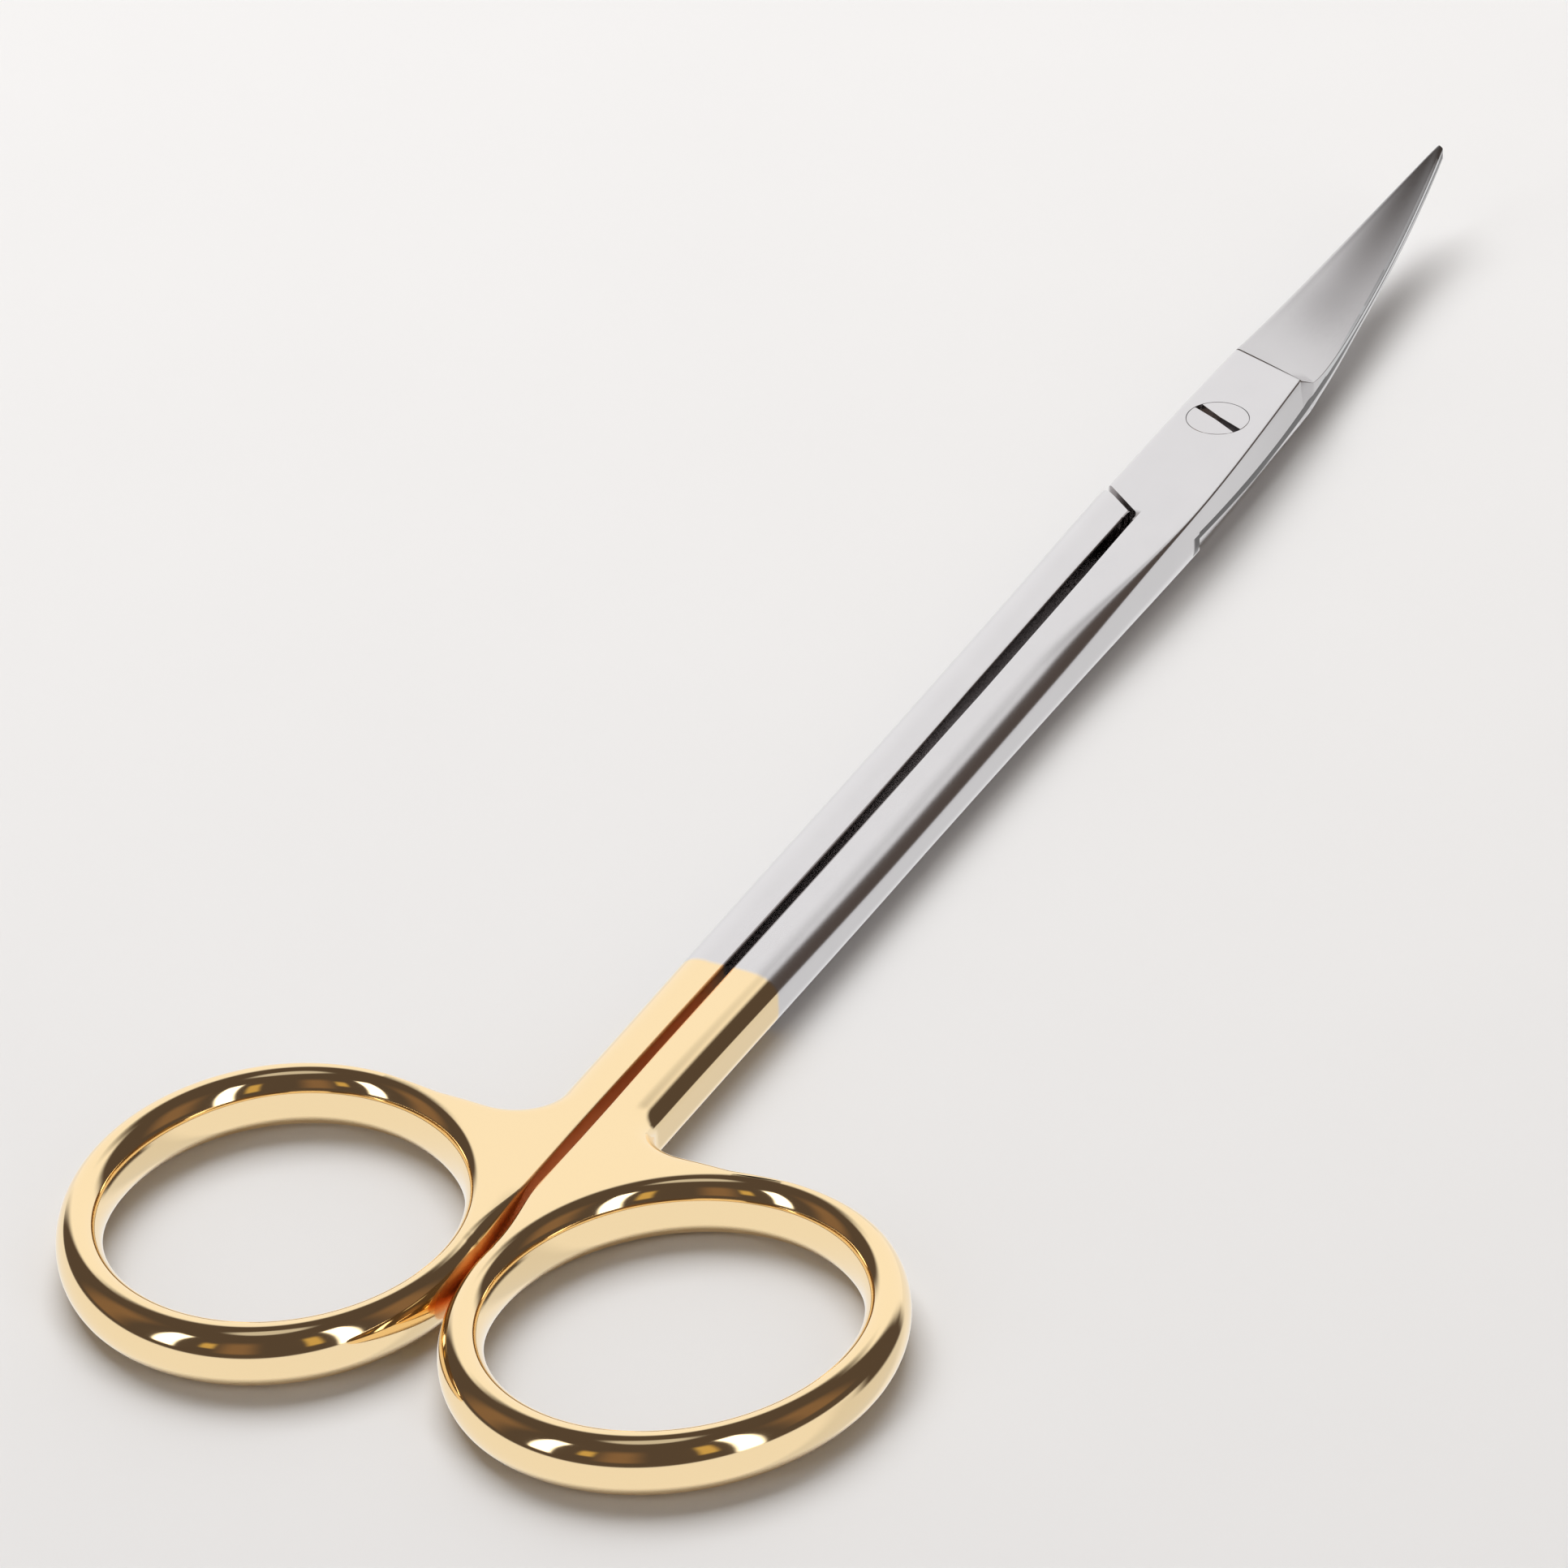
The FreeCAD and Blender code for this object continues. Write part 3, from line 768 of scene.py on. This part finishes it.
def joint_shade_masks(n, place):
    """Masks of painted shade on upright faces deep in the joint: between the shoulders, and a painted
    shadow under the upper half's edge.
    """
    normal = n.add("SeparateXYZ", i0=n.add("NewGeometry").outputs["True Normal"]).outputs
    upright = n.ramp(n.math("ABSOLUTE", normal[2]), *UPRIGHT)
    along = n.math("SUBTRACT", place[1], PIVOT[1] * MM)
    # Painted shade on the upright walls between the shoulders
    across = n.ramp(n.math("ABSOLUTE", place[0]), *SHOULDER_PAINTED_SHADE)
    away = n.math("ABSOLUTE", n.math("SUBTRACT", along, SHOULDER_SHADE_MIDDLE))
    shoulders = n.math("MULTIPLY", across, n.ramp(away, *SHOULDER_SHADE_REACH))
    # Painted shadow in the seam under the upper half's edge, following the bowed mating face
    bowed = n.math("DIVIDE", n.math("MULTIPLY", along, along), 2 * BOW_RADIUS * MM)
    height = n.math("SUBTRACT", n.math("SUBTRACT", place[2], PIVOT[2] * MM), bowed)
    hidden = n.math("MULTIPLY_ADD", n.math("MAXIMUM", along, 0.0), -SEAM_SHADOW_TAPER, SEAM_SHADOW_DEPTH)
    depth = n.math("DIVIDE", height, n.math("MAXIMUM", hidden, SEAM_SHADOW_LEAST))
    under = n.math("MULTIPLY", n.ramp(depth, *SEAM_SHADOW_LOW), n.ramp(height, *SEAM_SHADOW_TOP))
    under = n.math("MULTIPLY", under, n.ramp(place[0], *SEAM_SHADOW_SIDE))
    under = n.math("MULTIPLY", under, n.ramp(along, *SEAM_SHADOW_START))
    return n.math("MULTIPLY", upright, shoulders), n.math("MULTIPLY", upright, under)


def half_finish(settings, grain):
    """Satin steel, changing to polished gold plating at the plating line, with painted shade on the blades'
    ground faces and tips, between the shanks and at the shoulders, and a painted shadow in the seam under
    the joint's edge.
    """
    material, n, shader = new_material("steel_and_gold")
    place = n.add("SeparateXYZ", i0=n.add("TexCoord").outputs["Object"]).outputs
    noise = n.add("TexNoise", Vector=n.add("TexCoord").outputs["Object"], Scale=WANDER_SCALE)
    wander = n.math("MULTIPLY", n.math("SUBTRACT", noise.outputs[0], 0.5), PLATING_WANDER)
    line = n.math("ADD", place[1], wander)
    gold = n.ramp(line, settings.plating_line + PLATING_EDGE, settings.plating_line - PLATING_EDGE)
    brushed = place_group(n, grain, Stretch=HALF_BRUSH, Turn=0.0)
    tint = n.mix(brushed["Cloud"], (*settings.steel_shade, 1), (*settings.steel_colour, 1))
    # Painted shade in the gap between the shanks: the plating turns redder and the steel darker, for the
    # light lost between the walls
    gap_shade_mask = n.ramp(n.math("ABSOLUTE", place[0]), *GAP_PAINTED_SHADE)
    plated = n.mix(gap_shade_mask, (*settings.gold_colour, 1), (*settings.gap_gold_painted_shade, 1))
    # Painted shade: the blades' ground faces are darker, and darker still towards the tips, where their
    # reflections darken
    ground_face_shade = n.ramp(n.math("MULTIPLY_ADD", place[0], GROUND_FACE_PAINTED_SHADE_SLOPE, place[1]), *GROUND_FACE_PAINTED_SHADE)
    face = n.mix(n.ramp(place[1], *TIP_PAINTED_SHADE_PLACES), (*settings.ground_face_painted_shade, 1), (*settings.tip_painted_shade, 1))
    tint = n.mix(ground_face_shade, tint, face)
    behind = n.ramp(place[1], *GAP_PAINTED_SHADE_END)
    # Painted shade at the shoulders and a painted shadow in the seam under the joint's edge
    shoulders, seam = joint_shade_masks(n, place)
    deep = n.math("MAXIMUM", n.math("MULTIPLY", gap_shade_mask, behind), shoulders)
    tint = n.mix(deep, tint, (*settings.gap_and_shoulder_painted_shade, 1))
    tint = n.mix(seam, tint, (*settings.seam_painted_shadow, 1))
    n.feed(shader, "Base Color", n.mix(gold, tint, plated))
    n.feed(shader, "Metallic", 1.0)
    rough = n.math("MULTIPLY_ADD", brushed["Height"], STEEL_GRAIN, settings.steel_roughness)
    shine = n.math("MULTIPLY_ADD", brushed["Cloud"], PLATED_CLOUD, settings.gold_roughness)
    shine = n.math("MULTIPLY_ADD", gap_shade_mask, GAP_ROUGHNESS, shine)
    mixed = n.add("Mix", {"data_type": "FLOAT"}, i0=gold, i2=rough, i3=shine)
    n.feed(shader, "Roughness", mixed.outputs[0])
    depth = n.math("MULTIPLY", brushed["Height"], n.ramp(gold, 0.0, 1.0, 1.0, PLATED_BRUSH))
    bump = n.add("Bump", Strength=settings.brushing, Distance=BRUSH_DEPTH, Height=depth)
    n.feed(shader, "Normal", bump.outputs[0])
    return material


def plain_metal(name, colour, shade, roughness, grain, turn, strength):
    """One brushed metal, its lines turned about the vertical."""
    material, n, shader = new_material(name)
    brushed = place_group(n, grain, Stretch=PLAIN_BRUSH, Turn=turn)
    n.feed(shader, "Base Color", n.mix(brushed["Cloud"], (*shade, 1), (*colour, 1)))
    n.feed(shader, "Metallic", 1.0)
    n.feed(shader, "Roughness", n.math("MULTIPLY_ADD", brushed["Height"], PLAIN_GRAIN, roughness))
    bump = n.add("Bump", Strength=strength, Distance=BRUSH_DEPTH, Height=brushed["Height"])
    n.feed(shader, "Normal", bump.outputs[0])
    return material


# Settings

def colour_setting(name, description, default):
    return bpy.props.FloatVectorProperty(
        name=name, description=description, default=default, subtype="COLOR", min=0, max=1)


class ScissorsFinish(bpy.types.PropertyGroup):
    """Colours and finishes of the scissors."""

    plating_line: bpy.props.FloatProperty(
        name="Plating line", description="Where the gold plating starts along the shanks",
        default=-0.0313, unit="LENGTH", precision=5)
    steel_colour: colour_setting("Steel", "Satin steel", (0.765, 0.745, 0.752))
    steel_shade: colour_setting("Steel shade", "Satin steel where it is duller", (0.73, 0.712, 0.72))
    gold_colour: colour_setting("Gold", "Gold plating", (0.98, 0.76, 0.45))
    # Painted shade: redder gold between the shanks, for the light lost there
    gap_gold_painted_shade: colour_setting("Gold in the gap", "Plating between the shanks", (0.98, 0.52, 0.21))
    # Painted shade on the blades' ground faces, darker towards the tips
    ground_face_painted_shade: colour_setting("Ground steel", "Ground faces of the blades", (0.64, 0.622, 0.628))
    tip_painted_shade: colour_setting("Steel at the tips", "Ground faces at the tips", (0.38, 0.37, 0.375))
    # Painted shade: darker steel between the shanks and at the shoulders, where little light reaches
    gap_and_shoulder_painted_shade: colour_setting("Steel in the gap", "Unpolished steel between the shanks", (0.36, 0.33, 0.33))
    # Painted shadow: near-black steel in the seam under the joint's edge
    seam_painted_shadow: colour_setting(
        "Steel in the seam", "Steel in the seam under the joint's edge", (0.08, 0.075, 0.075))
    hard_metal: colour_setting("Hard metal", "Strips at the cutting edges", (0.66, 0.66, 0.67))
    hard_metal_shade: colour_setting(
        "Hard metal shade", "Strips at the cutting edges where they are duller", (0.6, 0.6, 0.61))
    steel_roughness: bpy.props.FloatProperty(
        name="Steel roughness", description="Roughness of the satin steel", default=0.18, min=0, max=1)
    hard_metal_roughness: bpy.props.FloatProperty(
        name="Hard metal roughness", description="Roughness of the strips", default=0.18, min=0, max=1)
    gold_roughness: bpy.props.FloatProperty(
        name="Gold roughness", description="Roughness of the plating", default=0.05, min=0, max=1)
    brushing: bpy.props.FloatProperty(
        name="Brushing", description="Strength of the brushed lines", default=0.035, min=0, max=1)


class ScissorsStudio(bpy.types.PropertyGroup):
    """Floor, lamps and surroundings."""

    floor_colour: colour_setting("Floor", "Plain pale floor", (0.80, 0.80, 0.80))
    floor_radius: bpy.props.FloatProperty(
        name="Floor radius", description="Radius of the floor", default=1.5, unit="LENGTH")
    softbox_power: bpy.props.FloatProperty(
        name="Softbox power", description="Power of the overhead softbox", default=10.5, unit="POWER")
    backdrop: bpy.props.FloatProperty(
        name="Backdrop", description="Brightness of the white backdrop", default=1.0, min=0)
    strip_lamps: bpy.props.FloatProperty(
        name="Strip lamps", description="Brightness of the two strip lamps", default=3.0, min=0)
    room: colour_setting("Room", "Colour of the dark room around", (0.093, 0.072, 0.061))
    furniture: colour_setting("Furniture", "Brown things in the dark room", (0.23, 0.145, 0.085))
    glint: colour_setting("Glints", "Small warm lights beside the strip lamps", (0.6, 0.42, 0.14))


# Operators

class SCISSORS_OT_halves(bpy.types.Operator):
    """Build both halves and the strips at their cutting edges"""

    bl_idname = "scissors.halves"
    bl_label = "Halves and Strips"

    def execute(self, context):
        finish = context.scene.scissors_finish
        grain = bpy.data.node_groups.get("satin_grain") or grain_group()
        metal = half_finish(finish, grain)
        hard = plain_metal("hard_metal", finish.hard_metal, finish.hard_metal_shade,
                           finish.hard_metal_roughness, grain, 0.0, HARD_METAL_BRUSHING)
        for side, bend in (("upper", 1), ("lower", -1)):
            whole = combine(half_mesh(bend), notch(), "DIFFERENCE")
            whole = combine(whole, under_joint(bend), "DIFFERENCE")
            whole = combine(whole, seam_space(bend), "DIFFERENCE")
            strip = combine(whole.copy(), strip_space(bend), "INTERSECT")
            whole = combine(whole, strip_space(bend), "DIFFERENCE")
            if bend < 0:
                whole, strip = turn_over(whole), turn_over(strip)
            whole = combine(whole, screw_space(), "DIFFERENCE")
            if not len(whole.polygons) or not len(strip.polygons):
                raise RuntimeError("a cut left nothing of the " + side + " half")
            body = side + "_blade_body"
            piece(side + "_blade_shank_and_ring", whole, metal, side + "_half", body)
            piece(side + "_edge_strip", strip, hard, side + "_cutting_strip", body)
        return {"FINISHED"}


class SCISSORS_OT_screw(bpy.types.Operator):
    """Build the slotted pivot screw"""

    bl_idname = "scissors.screw"
    bl_label = "Pivot Screw"

    def execute(self, context):
        finish = context.scene.scissors_finish
        grain = bpy.data.node_groups.get("satin_grain") or grain_group()
        metal = plain_metal("screw_metal", finish.steel_colour, finish.steel_shade,
                            finish.steel_roughness, grain, SCREW_BRUSH_TURN, SCREW_BRUSHING)
        rim = JOINT_HALF - RIM
        body = turned([
            (0, JOINT_HALF), (HEAD_RADIUS - HEAD_EDGE, JOINT_HALF), (HEAD_RADIUS, JOINT_HALF - HEAD_EDGE),
            (HEAD_RADIUS, rim), (SHAFT_RADIUS, rim - CONE), (SHAFT_RADIUS, -JOINT_HALF), (0, -JOINT_HALF),
        ])
        middle, end, length = SLOT_WIDTH / 2, SLOT_END_WIDTH / 2, HEAD_RADIUS + SLOT_BEYOND
        plan = [(-length, -end), (0, -middle), (length, -end), (length, end), (0, middle), (-length, end)]
        slot = prism(plan, JOINT_HALF - SLOT_DEPTH, JOINT_HALF + SLOT_ABOVE)
        slot.transform(Matrix.Rotation(SLOT_ANGLE, 4, "Z"))
        body = combine(body, slot, "DIFFERENCE")
        piece("slotted_screw", body, metal, "pivot_screw", "lower_blade_body")
        return {"FINISHED"}


class SCISSORS_OT_stage(bpy.types.Operator):
    """Set up the floor, the lamps, the surroundings and the camera"""

    bl_idname = "scissors.stage"
    bl_label = "Stage and Camera"

    def execute(self, context):
        studio = context.scene.scissors_studio
        scene = context.scene
        scene.view_settings.view_transform = "Standard"
        self.floor(studio)
        self.surroundings(scene, studio)
        self.softbox(studio)
        self.camera(scene)
        return {"FINISHED"}

    def floor(self, studio):
        mesh = bpy.data.meshes.new("studio_floor")
        shell = bmesh.new()
        bmesh.ops.create_circle(shell, cap_ends=True, segments=FLOOR_CORNERS, radius=studio.floor_radius)
        shell.to_mesh(mesh)
        shell.free()
        material, n, shader = new_material("floor_paper")
        n.feed(shader, "Roughness", FLOOR_ROUGHNESS)
        n.feed(shader, "Specular IOR Level", FLOOR_SHINE)
        fibre = n.add("TexNoise", Vector=n.add("TexCoord").outputs["Object"], Scale=FLOOR_FIBRE)
        shade = tuple(v * FLOOR_SHADE for v in studio.floor_colour)
        n.feed(shader, "Base Color", n.mix(fibre.outputs[0], (*shade, 1), (*studio.floor_colour, 1)))
        self.far_reflections_pass(n, shader)
        mesh.materials.append(material)
        floor = bpy.data.objects.new("studio_floor", mesh)
        bpy.context.scene.collection.objects.link(floor)

    def far_reflections_pass(self, n, shader):
        """Only what lies close to the floor reflects it; other reflections see the surroundings."""
        path = n.add("LightPath").outputs
        far = n.ramp(path["Ray Length"], *NEAR_REFLECTIONS)
        clear = n.math("MULTIPLY", far, path["Is Glossy Ray"])
        mixed = n.add("MixShader", i0=clear, i1=shader.outputs[0], i2=n.add("BsdfTransparent").outputs[0])
        n.feed(n.tree.nodes["Material Output"], "Surface", mixed.outputs[0])

    def surroundings(self, scene, studio):
        world = bpy.data.worlds.new("studio")
        scene.world = world
        world.use_nodes = True
        n = Nodes(world.node_tree)
        background = world.node_tree.nodes["Background"]
        patch = sky_patch_group()
        tones = {name: (studio.backdrop * part,) * 3 + (1,) for name, part in BACKDROP_SHARES.items()}
        tones["lamp"] = (studio.strip_lamps,) * 3 + (1,)
        tones["room"] = (*studio.room, 1)
        tones["brown"] = (*studio.furniture, 1)
        tones["glint"] = (*studio.glint, 1)
        colour = tones["room"]
        for azimuth, half_width, side, low, high, top, tone in PATCHES:
            mask = place_group(n, patch, Azimuth=azimuth, Half_Width=half_width, Side_Edge=side,
                               Low=low, High=high, Head_Edge=top)["Mask"]
            colour = n.mix(mask, colour, tones[tone])
        seen = n.add("LightPath").outputs["Is Camera Ray"]
        n.feed(background, "Color", n.mix(seen, colour, (1, 1, 1, 1)))

    def softbox(self, studio):
        lamp = bpy.data.lights.new("softbox", "AREA")
        lamp.shape, lamp.size, lamp.size_y = "RECTANGLE", SOFTBOX_WIDTH, SOFTBOX_HEIGHT
        lamp.energy = studio.softbox_power
        box = bpy.data.objects.new("softbox", lamp)
        box.location = SOFTBOX_PLACE
        box.rotation_euler = (Vector((0, 0, 0)) - box.location).to_track_quat("-Z", "Y").to_euler()
        box.visible_glossy = False
        bpy.context.scene.collection.objects.link(box)

    def camera(self, scene):
        """The camera at the photograph's view."""
        data = bpy.data.cameras.new("camera")
        data.sensor_width, data.lens = CAMERA_SENSOR, CAMERA_LENS
        data.clip_start, data.clip_end = CAMERA_NEAR, CAMERA_FAR
        camera = bpy.data.objects.new("camera", data)
        matrix = Matrix((CAMERA_RIGHT, CAMERA_UP, CAMERA_BACK)).transposed().to_4x4()
        matrix.translation = CAMERA_EYE
        camera.matrix_world = matrix
        bpy.context.scene.collection.objects.link(camera)
        scene.camera = camera


class SCISSORS_PT_panel(bpy.types.Panel):
    """Builds the scissors piece by piece"""

    bl_label = "Kelly Scissors"
    bl_idname = "SCISSORS_PT_panel"
    bl_space_type = "VIEW_3D"
    bl_region_type = "UI"
    bl_category = "Scissors"

    def draw(self, context):
        for settings in (context.scene.scissors_finish, context.scene.scissors_studio):
            for name in settings.bl_rna.properties.keys():
                if name not in ("rna_type", "name"):
                    self.layout.prop(settings, name)
        for operator in OPERATORS:
            self.layout.operator(operator.bl_idname)


OPERATORS = (SCISSORS_OT_stage, SCISSORS_OT_halves, SCISSORS_OT_screw)
CLASSES = (ScissorsFinish, ScissorsStudio, *OPERATORS, SCISSORS_PT_panel)


def register():
    for cls in CLASSES:
        bpy.utils.register_class(cls)
    bpy.types.Scene.scissors_finish = bpy.props.PointerProperty(type=ScissorsFinish)
    bpy.types.Scene.scissors_studio = bpy.props.PointerProperty(type=ScissorsStudio)


def unregister():
    del bpy.types.Scene.scissors_studio
    del bpy.types.Scene.scissors_finish
    for cls in reversed(CLASSES):
        bpy.utils.unregister_class(cls)


def main():
    register()
    bpy.ops.scissors.stage()
    bpy.ops.scissors.halves()
    bpy.ops.scissors.screw()


if __name__ == "__main__":
    main()
